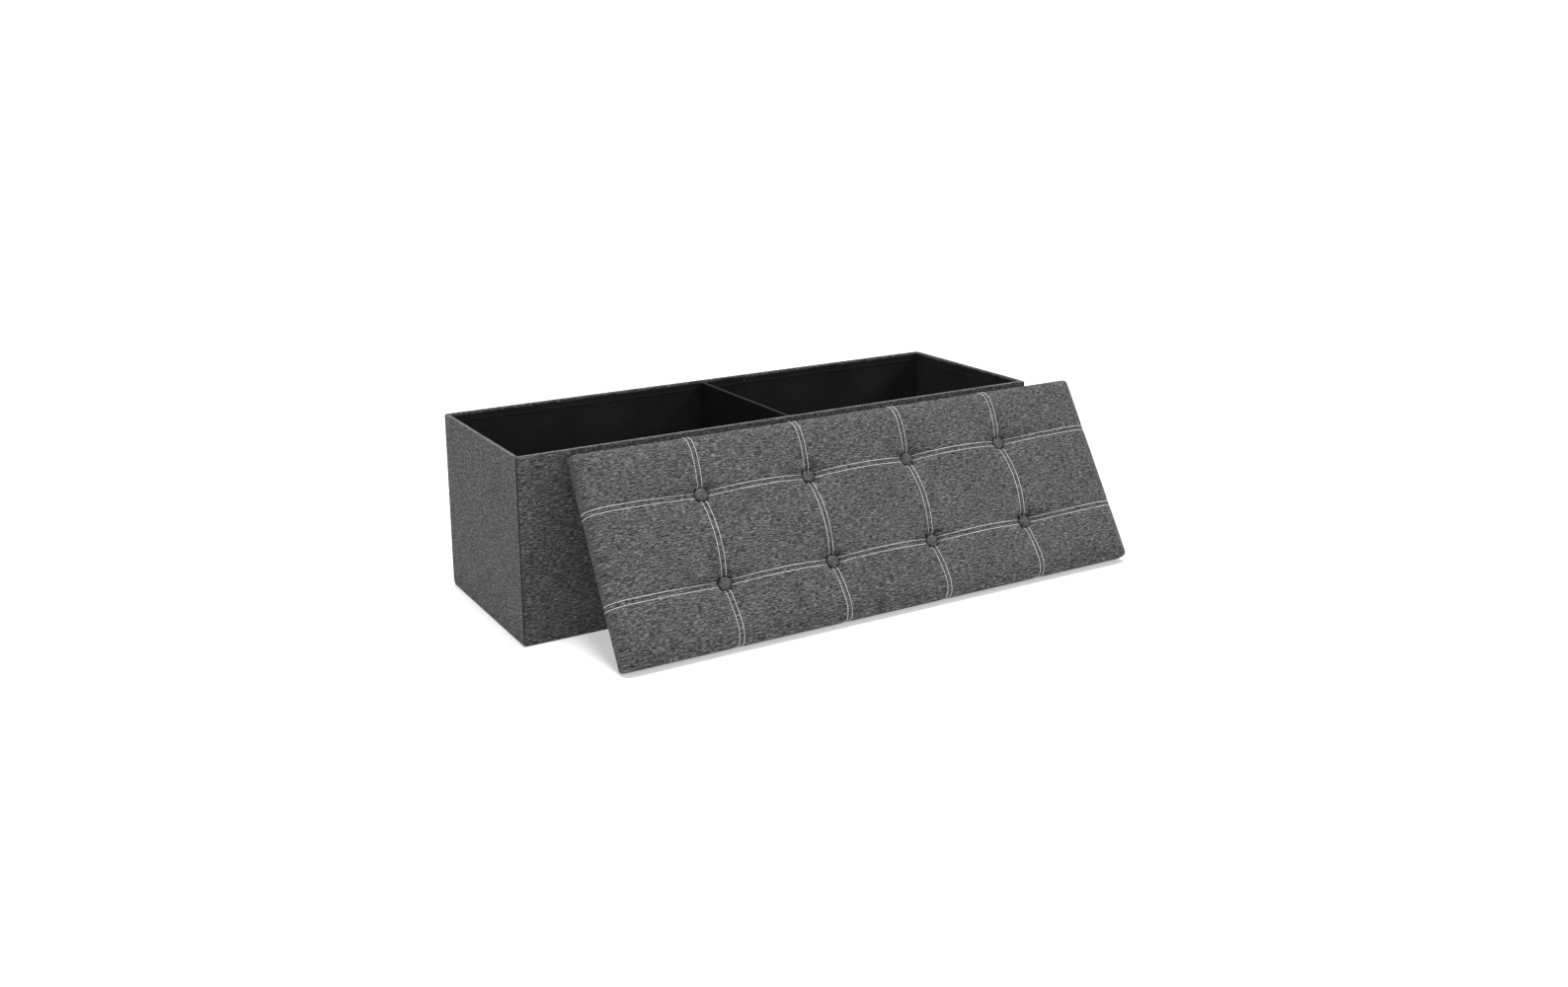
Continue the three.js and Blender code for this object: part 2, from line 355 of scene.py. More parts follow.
def linen():
    """Melange imitation linen: dark and light yarns, slubs along both directions, plain weave."""
    nodes = Nodes("grey_linen")
    uv = nodes.weave_map()
    weave = nodes.math("MULTIPLY", nodes.waves(uv, 0, YARN_PITCH), nodes.waves(uv, 1, YARN_PITCH))
    mix = nodes.total((weave, 0.015),
                      (nodes.noise(uv, (120, 740, 1), detail=1.5), 0.38),
                      (nodes.noise(uv, (36, 560, 1), detail=1.0), 0.20),
                      (nodes.noise(uv, (260, 1200, 1), detail=1.0), 0.20),
                      (nodes.noise(uv, (640, 150, 1), detail=1.0), 0.08),
                      (nodes.noise(uv, (600, 1500, 1), detail=0.0), 0.14),
                      (nodes.noise(uv, (9, 14, 1), detail=2.0), 0.03))
    nodes.paint(mix, (0.42, grey(0.009)), (0.465, grey(0.021)), (0.51, grey(0.048)),
                (0.555, grey(0.11)), (0.61, grey(0.21)))
    nodes.bump(nodes.total((weave, 0.25), (mix, 1.6)), strength=0.35, distance=0.3 * MM)
    nodes.set(roughness=0.95, sheen=0.04, sheen_roughness=0.5, specular=0.15)
    return nodes.material


def nonwoven(name, shade):
    """Spun-bonded cloth with its small embossed dots and soft unevenness."""
    nodes = Nodes(name)
    uv = nodes.weave_map()
    dots = nodes.cells(uv, (620, 620, 1), feature="F1", randomness=0.15)
    fibre = nodes.noise(uv, (420, 160, 1), detail=3.0, roughness=0.6)
    cloud = nodes.noise(uv, (11, 11, 1), detail=3.0, roughness=0.55)
    nodes.paint(nodes.total((fibre, 0.5), (cloud, 0.5)), (0.3, grey(shade * 0.6)), (0.7, grey(shade * 1.6)))
    nodes.bump(nodes.total((dots, 1.0), (fibre, 0.8)), strength=0.35, distance=0.2 * MM)
    nodes.set(roughness=0.85, sheen=0.0, specular=0.12)
    return nodes.material


def thread(name, shade):
    """Twisted sewing thread; the black one also makes the cords of painted shade."""
    nodes = Nodes(name)
    twist = nodes.noise(nodes.object_map(), (1500, 1500, 1500), detail=1.0)
    nodes.paint(twist, (0.3, grey(shade * 0.7)), (0.7, grey(min(shade * 1.2, 0.95))))
    nodes.bump(twist, strength=0.4, distance=0.2 * MM)
    nodes.set(roughness=0.6, sheen=0.1, specular=0.35)
    return nodes.material


def ribbon_cloth():
    """Ribbed black ribbon."""
    nodes = Nodes("grosgrain")
    uv = nodes.weave_map()
    rib = nodes.waves(uv, 0, RIB_PITCH)
    wear = nodes.noise(uv, (60, 300, 1), detail=2.0)
    nodes.paint(nodes.total((rib, 0.12), (wear, 1.0)), (0.3, grey(0.008)), (0.7, grey(0.026)))
    nodes.bump(rib, strength=0.5, distance=0.25 * MM)
    nodes.set(roughness=0.55, sheen=0.1, specular=0.4)
    return nodes.material


def hardboard():
    """Pressed fibreboard, brown with darker fibres."""
    nodes = Nodes("hardboard")
    place = nodes.object_map()
    fibre = nodes.noise(place, (900, 900, 260), detail=4.0, roughness=0.65)
    blotch = nodes.noise(place, (25, 25, 25), detail=3.0)
    nodes.paint(nodes.total((fibre, 0.6), (blotch, 0.4)),
                (0.3, (0.16, 0.085, 0.04)), (0.55, (0.36, 0.22, 0.11)), (0.75, (0.5, 0.34, 0.19)))
    nodes.bump(fibre, strength=0.25, distance=0.3 * MM)
    nodes.set(roughness=0.82, specular=0.3)
    return nodes.material


def foam_skin():
    """Open-cell seat foam."""
    nodes = Nodes("foam")
    place = nodes.object_map()
    cells = nodes.cells(place, (700, 700, 700), feature="DISTANCE_TO_EDGE", randomness=1.0)
    tone = nodes.noise(place, (30, 30, 30), detail=2.0)
    nodes.paint(tone, (0.3, (0.62, 0.56, 0.4)), (0.7, (0.8, 0.75, 0.58)))
    nodes.bump(cells, strength=0.5, distance=0.4 * MM)
    nodes.set(roughness=0.95, specular=0.2)
    return nodes.material


def zinc():
    """Zinc plating, for the washers, their ties and the staples."""
    nodes = Nodes("zinc")
    grain = nodes.noise(nodes.object_map(), (260, 260, 900), detail=3.0, roughness=0.6)
    nodes.paint(grain, (0.3, grey(0.42)), (0.7, grey(0.66)))
    nodes.link(nodes.math("ADD", nodes.math("MULTIPLY", grain, 0.3), 0.2), nodes.shader.inputs["Roughness"])
    nodes.set(metallic=0.9)
    return nodes.material


LINEN = linen()
NONWOVEN = nonwoven("black_nonwoven", 0.016)
DARK_NONWOVEN = nonwoven("dark_nonwoven", 0.0045)
WHITE_THREAD = thread("light_thread", 0.85)
# Near-black thread for real stitching, also used for the cords of painted shade in the upright corners,
# round the buttons and along the lining's hem band.
BLACK_THREAD_AND_SHADE = thread("black_thread", 0.004)
RIBBON = ribbon_cloth()
BINDING = nonwoven("binding_tape", 0.045)
# Light grey cloth for the cords of painted highlight along the rims.
RIM_HIGHLIGHT_PAINT = nonwoven("folded_edge", 0.2)
HARDBOARD = hardboard()
FOAM = foam_skin()
ZINC = zinc()


# ---- Thread ----

def stitches(name, paths, pitch, length, radius):
    """Short raised stitches along paths; each path is (points, normals), both N x 3."""
    # Each ring of a stitch: where it is, as a share of the length, and its rise, as a share of the radius.
    rings = [(-0.5, -0.7), (-0.38, 0.25), (-0.15, 0.75), (0.15, 0.75), (0.38, 0.25), (0.5, -0.7)]
    section = circle(6)
    shape = tube_faces(len(rings), len(section))
    vertices, faces = [], []
    for points, normals in paths:
        steps = np.linalg.norm(np.diff(points, axis=0), axis=1)
        along = np.concatenate([[0], np.cumsum(steps)])
        for k in range(int(along[-1] // pitch)):
            middle = (k + 0.5) * pitch
            marks = [middle - length / 2, middle, middle + length / 2]
            place = np.array([[np.interp(m, along, points[:, i]) for i in range(3)] for m in marks])
            up = np.array([np.interp(middle, along, normals[:, i]) for i in range(3)])
            way = place[2] - place[0]
            way /= np.linalg.norm(way) + TINY
            up -= way * up.dot(way)
            up /= np.linalg.norm(up) + TINY
            side = np.cross(way, up)
            base = len(vertices)
            for share, lift in rings:
                end = place[0] if share < 0 else place[2]
                centre = place[1] + (end - place[1]) * abs(2 * share) + up * radius * lift
                vertices += [centre + radius * (c * side + s * up) for c, s in section]
            faces += [[base + i for i in face] for face in shape]
    piece = new_object(name, vertices, faces)
    smooth(piece, 60)
    return piece


def stitched_rectangle(name, low, high, z, up, **sizes):
    """Stitches along the four sides of a level rectangle; up is 1 on its top and -1 underneath."""
    corners = [(low[0], low[1], z), (high[0], low[1], z), (high[0], high[1], z), (low[0], high[1], z)]
    normals = np.array([(0, 0, float(up))] * 2)
    sides = [np.array([corners[k], corners[(k + 1) % 4]]) for k in range(4)]
    return stitches(name, [(side, normals) for side in sides], **sizes)


# ---- Wall fabric ----

class Panel:
    """A wall, from its outer end corner, with its direction and the way inwards; end panels fold."""

    def __init__(self, start, along, inward, length):
        self.start = Vector(start)
        self.along = Vector(along)
        self.inward = Vector(inward)
        self.length = length
        self.folds = length < 3 * HALF_DEPTH

    def point(self, s, depth, z):
        place = self.start + self.along * s + self.inward * depth
        return (place.x, place.y, z)


PANELS = {
    "front": Panel((-HALF_LENGTH, -HALF_DEPTH, 0), (1, 0, 0), (0, 1, 0), 2 * HALF_LENGTH),
    "back": Panel((HALF_LENGTH, HALF_DEPTH, 0), (-1, 0, 0), (0, -1, 0), 2 * HALF_LENGTH),
    "left": Panel((-HALF_LENGTH, HALF_DEPTH, 0), (0, -1, 0), (1, 0, 0), 2 * HALF_DEPTH),
    "right": Panel((HALF_LENGTH, -HALF_DEPTH, 0), (0, 1, 0), (-1, 0, 0), 2 * HALF_DEPTH),
}


def wall_profile():
    """(depth, height) points up the outer face, over the rounded rim and down to the turnover's edge."""
    points = [(0.0, z) for z in np.linspace(FOOT, RIM - RIM_RADIUS, 28)]
    arc = np.linspace(0, math.pi / 2, 5)[1:]
    points += [(RIM_RADIUS * (1 - math.cos(a)), RIM - RIM_RADIUS * (1 - math.sin(a))) for a in arc]
    inner = WALL - RIM_RADIUS
    points += [(inner + RIM_RADIUS * math.sin(a), RIM - RIM_RADIUS * (1 - math.cos(a))) for a in [0, *arc]]
    points.append((WALL, RIM - TURNOVER))
    return points


def end_columns():
    """Distances from a mitred end, close together round the corner seam, up to the corner zone."""
    arc = [CORNER_RADIUS * (1 - math.sin(math.radians(a))) for a in (90, 68, 48, 30, 14, 0)]
    return arc + [CORNER_RADIUS * 2, 5 * MM]


def panel_columns(panel, low=None, high=None, special=()):
    """Columns of a panel's grid, each with its place; None for low or high means to the mitred corner."""
    inner_low = CORNER_ZONE if low is None else low
    inner_high = panel.length - CORNER_ZONE if high is None else high
    columns = [("mid", s) for s in columns_between(inner_low, inner_high, step=10 * MM, special=special)]
    if low is None:
        columns = [("start", e) for e in end_columns()] + columns
    if high is None:
        columns = columns + [("end", e) for e in reversed(end_columns())]
    return columns


def corner_dip(e):
    if e >= CORNER_RADIUS:
        return 0.0
    return CORNER_RADIUS - math.sqrt(max(CORNER_RADIUS ** 2 - (CORNER_RADIUS - e) ** 2, 0.0))


def along_end(e, mitre):
    """Where a column e from the end stands, once the end is cut back by its mitre."""
    return mitre + e * (CORNER_ZONE - mitre) / CORNER_ZONE


def columns_between(low, high, step, special=()):
    if high - low < MM:
        return [low]
    count = max(2, int(round((high - low) / step)) + 1)
    values = list(np.linspace(low, high, count))
    values += [s for s in special if low < s < high]
    return sorted(set(round(v, 7) for v in values))


def crease(s, panel):
    """How far the outer face dips at the fold line in the middle of an end panel."""
    if not panel.folds:
        return 0.0
    away = abs(s - panel.length / 2)
    return CREASE_DEPTH * max(0.0, 1 - away / CREASE_HALF) ** 1.5


def wall_fabric(name, panel, low=None, high=None, seed=1):
    """The outer fabric of a wall between two distances along it; None means to the mitred corner."""
    profile = wall_profile()
    near_crease = [panel.length / 2 + k * MM for k in (-3, -2, -1.2, -0.5, 0, 0.5, 1.2, 2, 3)]
    columns = panel_columns(panel, low, high, near_crease if panel.folds else ())
    steps = np.linalg.norm(np.diff(np.array(profile), axis=0), axis=1)
    lengths = np.concatenate([[0], np.cumsum(steps)])
    vertices, uvs = [], []
    for (depth, z), length in zip(profile, lengths):
        outside = max(0.0, 1 - depth / RIM_RADIUS)
        soften = max(0.0, min(1.0, (RIM - z) / EDGE_FADE, (z - FOOT) / SHORT_FADE))
        for kind, value in columns:
            s, dip = value, 0.0
            if kind != "mid":
                dip = corner_dip(value) * max(0.0, 1 - depth / WALL)
                s = along_end(value, max(depth, CORNER_RADIUS))
                s = s if kind == "start" else panel.length - s
            sink = COVER_SINK * (1 + ripple_at(s, z, 0.13, seed)) * soften
            vertices.append(panel.point(s, depth + dip + outside * (crease(s, panel) + sink), z))
            uvs.append((s, FOOT + length))
    return cloth(name, vertices, len(profile), len(columns), uvs, COVER_SHEET)


def walls():
    for name, seed in (("front", 11), ("back", 12)):
        piece = wall_fabric(f"{name}_fabric", PANELS[name], seed=seed)
        finish_piece(piece, f"{name}_wall", LINEN, "outer_fabric", f"{name}_cover")
    for side in ("left", "right"):
        end_panel(side, PANELS[side])


def end_panel(side, panel):
    """Three pieces: one across the middle fold, and one round each corner hinge."""
    middle = wall_fabric(f"{side}_fold_fabric", panel, BLEND_CUT, panel.length - BLEND_CUT, END_SEED)
    finish_piece(middle, None, LINEN, "outer_fabric", f"{side}_front_cover", f"{side}_rear_cover")
    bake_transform(middle)
    names = ("rear", "front") if side == "left" else ("front", "rear")
    spans = ((None, BLEND_CUT), (panel.length - BLEND_CUT, None))
    for name, (low, high) in zip(names, spans):
        if (side, name) == OPEN_PIVOT:
            open_corner(side, name, panel)
            continue
        corner = wall_fabric(f"{side}_{name}_corner_fabric", panel, low, high, END_SEED)
        finish_piece(corner, None, LINEN, "outer_fabric")
        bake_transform(corner)


def open_corner(side, name, panel):
    """The corner whose hinge is open in the tree of joints: wall edge and leaf edge are two pieces."""
    split = panel.length - CORNER_ZONE
    leaf = wall_fabric(f"{side}_{name}_leaf_fabric", panel, panel.length - BLEND_CUT, split, END_SEED)
    finish_piece(leaf, f"{side}_{name}_leaf", LINEN, "outer_fabric")
    edge = wall_fabric(f"{side}_{name}_corner_fabric", panel, split, None, END_SEED)
    finish_piece(edge, "back_wall", LINEN, "outer_fabric")


def foot_corner(e, depth, z):
    """Where the hem's upright corner stands and how far it dips; it gets rounder towards the floor."""
    radius = CORNER_RADIUS + (FOOT_RADIUS - CORNER_RADIUS) * (1 - z / FOOT) ** 0.8
    s = along_end(e, max(depth, MITRE_SHARE * radius))
    dip = 0.0
    if s < radius:
        dip = radius - math.sqrt(max(radius ** 2 - (radius - s) ** 2, 0.0))
    return s, dip * max(0.0, 1 - depth / WALL)


def foot_hems():
    """The lowest strip of outer fabric on each side, rounded under at the floor."""
    radius = 3.0 * MM
    profile = [(COVER_SINK, FOOT), (0.1 * MM, FOOT * 0.75), (0.0, FOOT * 0.5)]
    arc = np.linspace(0, math.pi / 2, 6)
    profile += [(radius * (1 - math.cos(a)), radius * (1 - math.sin(a))) for a in arc]
    profile += [(WALL * 0.9, 0.0)]
    for name, panel in PANELS.items():
        columns = panel_columns(panel)
        vertices, uvs = [], []
        for depth, z in profile[::-1]:
            for kind, value in columns:
                s, dip = value, 0.0
                if kind != "mid":
                    s, dip = foot_corner(value, depth, z)
                    s = s if kind == "start" else panel.length - s
                vertices.append(panel.point(s, depth + dip, z))
                uvs.append((s, z - depth))
        piece = cloth(f"{name}_foot_hem", vertices, len(profile), len(columns), uvs, COVER_SHEET)
        finish_piece(piece, "front_wall", LINEN, "outer_fabric", f"hem_{name}")


def painted_corner_shades():
    """Painted shade in the valley at each upright corner: a near-black cord along the seam, thinner at every
    fourth ring.
    """
    inset, ring_pitch = CORNER_RADIUS * 0.8, 1.1 * MM
    section = circle(8)
    heights = np.arange(FOOT, RIM - RIM_RADIUS * 0.6, ring_pitch)
    for side, x_sign in (("left", -1), ("right", 1)):
        for end, y_sign, body in (("front", -1, "front_wall"), ("rear", 1, "back_wall")):
            x, y = x_sign * (HALF_LENGTH - inset), y_sign * (HALF_DEPTH - inset)
            vertices = []
            for step, z in enumerate(heights):
                radius = CORNER_SHADE_RADIUS * (1.0 if step % 4 else 0.75)
                vertices += [(x + radius * c, y + radius * s, z) for c, s in section]
            faces = grid_faces(len(heights), len(section), closed=True)
            piece = new_object(f"{side}_{end}_corner_seam", vertices, faces)
            smooth(piece, 60)
            finish_piece(piece, body, BLACK_THREAD_AND_SHADE, "lining")


def tube(name, points, radius):
    """A cord along straight or gently bent points; its rings stand square to its ends."""
    section = circle(8)
    points = [Vector(p) for p in points]
    way = (points[-1] - points[0]).normalized()
    up = Vector((0, 0, 1))
    side = way.cross(up)
    vertices, uvs = [], []
    for index, point in enumerate(points):
        share = 1.0 if 0 < index < len(points) - 1 else 0.5
        for k, (c, s) in enumerate(section):
            vertices.append(point + radius * share * (c * side + s * up))
            uvs.append(((point - points[0]).length, k * radius))
    piece = new_object(name, vertices, tube_faces(len(points), len(section)), uvs)
    smooth(piece, 60)
    return piece


def painted_rim_highlights():
    """Painted highlight along the rims: a light grey cord on the rim's outer edge stands in for the light
    that the rim's top catches.
    """
    depth, sink, radius = 1.5 * MM, 0.35 * MM, 0.62 * MM
    low, middle, high = WALL + 0.5 * MM, HALF_DEPTH, 2 * HALF_DEPTH - WALL - 0.5 * MM
    before, after = middle - 0.4 * MM, middle + 0.4 * MM
    parts = [("front", "front_wall", 2 * MM, 2 * HALF_LENGTH - 2 * MM),
             ("back", "back_wall", 2 * MM, 2 * HALF_LENGTH - 2 * MM),
             ("left", "left_rear_leaf", low, before), ("left", "left_front_leaf", after, high),
             ("right", "right_front_leaf", low, before), ("right", "right_rear_leaf", after, high)]
    for panel_name, body, start, end in parts:
        steps = columns_between(start, end, step=12 * MM)
        points = [PANELS[panel_name].point(s, depth, RIM - sink) for s in steps]
        finish_piece(tube(f"{body}_rim_edge", points, radius), body, RIM_HIGHLIGHT_PAINT, "outer_fabric")


# ---- Lining, divider and bases ----

def sheet_grid(name, place, u_values, v_values, seed, wave, thickness, flip=False):
    """A thin cloth over u, v; place(u, v, rise) gives each point, rise is the cloth's unevenness."""
    u_grid, v_grid = np.meshgrid(u_values, v_values)
    rise = wave * ripple(u_grid.ravel(), v_grid.ravel(), 0.11, seed)
    vertices = [place(u, v, r) for u, v, r in zip(u_grid.ravel(), v_grid.ravel(), rise)]
    uvs = list(zip(u_grid.ravel(), v_grid.ravel()))
    return cloth(name, vertices, len(v_values), len(u_values), uvs, thickness, flip)


def lining_for(name, panel, low, high, seed):
    """Lining of a wall between two distances along it, with its hem band and stitching; the stitch line is a
    near-black cord that also paints the shade under the band's step.
    """
    def face(u, v, rise):
        return panel.point(u, WALL - LINING_SETBACK + rise, v)

    def band(u, v, rise):
        return panel.point(u, WALL - 0.02 * MM + rise * 0.3, v)

    band_foot = LINING_TOP - HEM_BAND
    across = columns_between(low, high, step=9 * MM)
    up = columns_between(FOOT, LINING_TOP, step=9 * MM)
    sheet = sheet_grid(f"{name}_lining_cloth", face, across, up, seed, LINING_WAVE, THIN_CLOTH, flip=True)
    band_up = columns_between(band_foot, LINING_TOP, step=6 * MM)
    hem = sheet_grid(f"{name}_lining_hem", band, across, band_up, seed + 1, BAND_WAVE, THIN_CLOTH, flip=True)
    # The end walls' stitching sits a little lower, so that it clears the long walls' when folded.
    seam_height = band_foot + (-1.7 * MM if panel.folds else 0.3 * MM)
    points = [panel.point(s, WALL - 0.3 * MM, seam_height) for s in across]
    # The stitch line is one near-black cord: the hem's stitching, and also painted shade along the foot of
    # the hem band's step.
    seam = tube(f"{name}_lining_seam", points, 0.6 * MM)
    return sheet, hem, seam


def hem_join():
    """The little fold where the two ends of the back wall's hem overlap."""
    panel = PANELS["back"]
    rows, columns = 6, 4
    width, height, slant = 3 * MM, 11 * MM, 4 * MM
    vertices, uvs = [], []
    for v in np.linspace(0, 1, rows):
        for u in np.linspace(0, 1, columns):
            s = panel.start.x - 100 * MM + width * (u - 0.5) - slant * (v - 0.5)
            z = LINING_TOP - HEM_BAND + 0.5 * MM + height * v
            vertices.append(panel.point(s, WALL + 0.15 * MM + 0.5 * MM * math.sin(math.pi * u), z))
            uvs.append((s, z))
    piece = cloth("hem_join", vertices, rows, columns, uvs, TAPE, flip=True, angle=60)
    finish_piece(piece, "back_wall", BINDING, "lining")


def linings():
    edge = 1.6 * MM
    for name in ("front", "back"):
        panel = PANELS[name]
        sheet, hem, seam = lining_for(name, panel, edge, panel.length - edge, 31)
        finish_piece(sheet, f"{name}_wall", NONWOVEN, "lining", f"{name}_lining")
        finish_piece(hem, f"{name}_wall", NONWOVEN, "lining")
        finish_piece(seam, f"{name}_wall", BLACK_THREAD_AND_SHADE, "lining")
    hem_join()
    corner = WALL + 0.55 * MM
    for side in ("left", "right"):
        panel = PANELS[side]
        pieces = lining_for(side, panel, corner, panel.length - corner, 41)
        for piece, material in zip(pieces, (NONWOVEN, NONWOVEN, BLACK_THREAD_AND_SHADE)):
            finish_piece(piece, None, material, "lining")
            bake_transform(piece)
        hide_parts(f"{side}_front_lining", f"{side}_rear_lining")


def divider():
    """Two cloth-covered leaves with a bound top edge."""
    radius = 1.7 * MM
    for end in ("front", "rear"):
        low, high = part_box(f"divider_{end}_cover")
        half = (high.x - low.x) / 2
        top = high.z
        heights = list(np.linspace(FOOT, top - radius, 30))
        profile = [(-half, z) for z in heights]
        for start, centre in ((0, -half + radius), (math.pi / 2, half - radius)):
            arc = np.linspace(start, start + math.pi / 2, 4)
            profile += [(centre - radius * math.cos(a), top - radius + radius * math.sin(a)) for a in arc]
        profile += [(half, z) for z in heights[::-1]]
        ys = columns_between(low.y, high.y, step=8 * MM)
        vertices, uvs = [], []
        travel = 0.0
        for index, (x, z) in enumerate(profile):
            if index:
                travel += math.dist(profile[index - 1], (x, z))
            for y in ys:
                inside = min(1.0, (y - low.y) / SHORT_FADE, (high.y - y) / SHORT_FADE)
                hollow = (0.2 + 0.25 * ripple_at(y, z, 0.09, 51)) * MM * inside * (z < top - 5 * MM)
                vertices.append((x + hollow if x < 0 else x - hollow, y, z))
                uvs.append((y, travel))
        piece = cloth(f"divider_{end}_cloth", vertices, len(profile), len(ys), uvs, LINING_SHEET, flip=True)
        finish_piece(piece, f"divider_{end}_leaf", DARK_NONWOVEN, "lining", f"divider_{end}_cover")
        binding(end, low, high)


def binding(end, low, high):
    """Tape sewn over the divider's top edge."""
    half, drop, inset = 1.1 * MM, 1.6 * MM, 0.3 * MM
    top = high.z + 0.35 * MM
    arc = np.linspace(0, math.pi, 11)
    profile = [(-half, top - drop)] + [(-half * math.cos(a), top - half + half * math.sin(a)) for a in arc]
    profile.append((half, top - drop))
    ys = columns_between(low.y + inset, high.y - inset, step=8 * MM)
    vertices = [(x, y, z) for x, z in profile for y in ys]
    uvs = [(y, i * 2 * MM) for i in range(len(profile)) for y in ys]
    piece = cloth(f"divider_{end}_binding", vertices, len(profile), len(ys), uvs, TAPE, flip=True)
    finish_piece(piece, f"divider_{end}_leaf", BINDING, "lining")


def base_boards():
    """Each base's cloth, rounded over the board's edges, with its stitching and pull ribbon."""
    radius = 1.6 * MM
    for side in ("left", "right"):
        low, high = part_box(f"{side}_base_cover")
        xs = edge_columns(low.x, high.x, radius, step=12 * MM)
        ys = edge_columns(low.y, high.y, radius, step=12 * MM)

        def height(x, y):
            away = max(0.0, radius - min(x - low.x, high.x - x, y - low.y, high.y - y))
            drop = radius - math.sqrt(max(radius ** 2 - away ** 2, 0.0))
            return high.z - drop - 0.25 * MM * (1 + ripple_at(x, y, 0.12, 61)) * (away == 0)

        vertices = [(x, y, height(x, y)) for y in ys for x in xs]
        uvs = [(x, y) for y in ys for x in xs]
        faces = grid_faces(len(ys), len(xs))
        loop = boundary_loop(len(ys), len(xs))
        foot = [(vertices[i][0], vertices[i][1], low.z) for i in loop]
        add_ring(vertices, uvs, faces, loop, foot, [uvs[i] for i in loop])
        piece = new_object(f"{side}_base_cloth", vertices, faces, uvs)
        thicken(piece, LINING_SHEET)
        smooth(piece, 50)
        finish_piece(piece, f"{side}_base", NONWOVEN, "lining", f"{side}_base_cover")
        base_stitching(side, low, high)
        base_ribbon(side)


def base_stitching(side, low, high):
    inset = Vector((9 * MM, 9 * MM, 0))
    piece = stitched_rectangle(f"{side}_base_stitch", low + inset, high - inset, high.z - 0.1 * MM, 1,
                               pitch=5 * MM, length=4 * MM, radius=0.35 * MM)
    finish_piece(piece, f"{side}_base", BLACK_THREAD_AND_SHADE, "lining")


def base_ribbon(side):
    """A flat pull loop with a slight hump, sewn down at both ends."""
    low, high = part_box(f"{side}_base_ribbon")
    xs = columns_between(low.x, high.x, step=2.5 * MM)
    ys = np.linspace(low.y, high.y, 7)
    vertices, uvs = [], []
    for y in ys:
        for x in xs:
            share = (x - low.x) / (high.x - low.x)
            hump = 0.5 * MM * math.sin(math.pi * share) ** 2
            vertices.append((x, y, high.z - 0.2 * MM + hump))
            uvs.append((x, y))
    piece = cloth(f"{side}_pull_ribbon", vertices, len(ys), len(xs), uvs, RIBBON_THICKNESS)
    finish_piece(piece, f"{side}_base", RIBBON, "ribbon", f"{side}_base_ribbon")


def bottom():
    """The cloth under the bases; it reaches to the turned-in edge of the hem."""
    reach = Vector((1.0 * MM, 1.0 * MM, 0))
    low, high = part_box("bottom_cloth")
    low, high = low - reach, high + reach
    xs = columns_between(low.x, high.x, step=14 * MM)
    ys = columns_between(low.y, high.y, step=14 * MM)

    def place(u, v, rise):
        inside = min(EDGE_FADE, u - low.x, high.x - u, v - low.y, high.y - v) / EDGE_FADE
        return (u, v, high.z + (rise - 0.25 * MM) * inside)

    piece = sheet_grid("bottom_sheet", place, xs, ys, 71, BOTTOM_WAVE, THIN_CLOTH)
    finish_piece(piece, "front_wall", NONWOVEN, "lining", "bottom_cloth")


def edge_columns(low, high, radius, step):
    """Grid lines from low to high, close together over the rounded edges."""
    turn = [radius * (1 - math.sin(math.radians(a))) for a in (90, 75, 60, 45, 30, 15)]
    inner = columns_between(low + radius, high - radius, step)
    return [low + t for t in turn] + inner + [high - t for t in turn[::-1]]


def boundary_loop(rows, columns):
    """Indices round the edge of a rows x columns grid, counter-clockwise seen from above."""
    bottom_edge = list(range(columns))
    right = [r * columns + columns - 1 for r in range(1, rows)]
    top = [(rows - 1) * columns + c for c in range(columns - 2, -1, -1)]
    left = [r * columns for r in range(rows - 2, 0, -1)]
    return bottom_edge + right + top + left


# ---- Lid ----
# The lid is built lying flat: X along it, Y across it, Z out of the pad, then leaned in place.

def lid_matrix():
    place = Vector(((lid_low.x + lid_high.x) / 2,
                    lid_high.y - HALF_DEPTH * math.sin(LEAN), HALF_DEPTH * math.cos(LEAN)))
    return Matrix.Translation(place) @ Matrix.Rotation(math.pi / 2 - LEAN, 4, "X")


LID = lid_matrix()


def lean(piece):
    piece.data.transform(LID)


def pad_lines(half, seams):
    """Grid lines across the pad, with extra ones over its rounded edges and along its seams."""
    longest = 6.5 * MM
    offsets = [0, 1.1, 2.3, 3.6, STITCH_OFFSET / MM, 5.8, 7.5, 9.5, 11.5, 13, 14.5, 16.5]
    turn = [t * MM for t in (0, 0.15, 0.6, 1.4, 2.6, 4.3, 6.6, 9.5, 13, 17)]
    wanted = [s + sign * o * MM for s in seams for o in offsets for sign in (-1, 1)]
    wanted += [half - t for t in turn] + [t - half for t in turn]
    wanted = sorted(set(round(w, 6) for w in wanted))
    lines = [wanted[0]]
    for line in wanted[1:]:
        gap = line - lines[-1]
        parts = max(1, int(math.ceil(gap / longest)))
        lines += [lines[-1] + gap * k / parts for k in range(1, parts)] + [line]
    return np.array(lines)


def seams_away(x, y):
    """Distances to the nearest seam that runs across the pad, and to the nearest that runs along it."""
    away_x = np.min(np.abs(x[..., None] - np.array(SEAM_XS)), axis=-1)
    away_y = np.min(np.abs(y[..., None] - np.array(SEAM_YS)), axis=-1)
    return away_x, away_y


def seam_fall(away_from_button, bay):
    """Depth of a seam below the pad at a distance from its button, over a bay between two buttons."""
    t = np.clip(away_from_button / bay, 0, 0.5)
    return BUTTON_DEPTH * (1 - np.sin(math.pi * t) ** 0.8) + SEAM_DEPTH


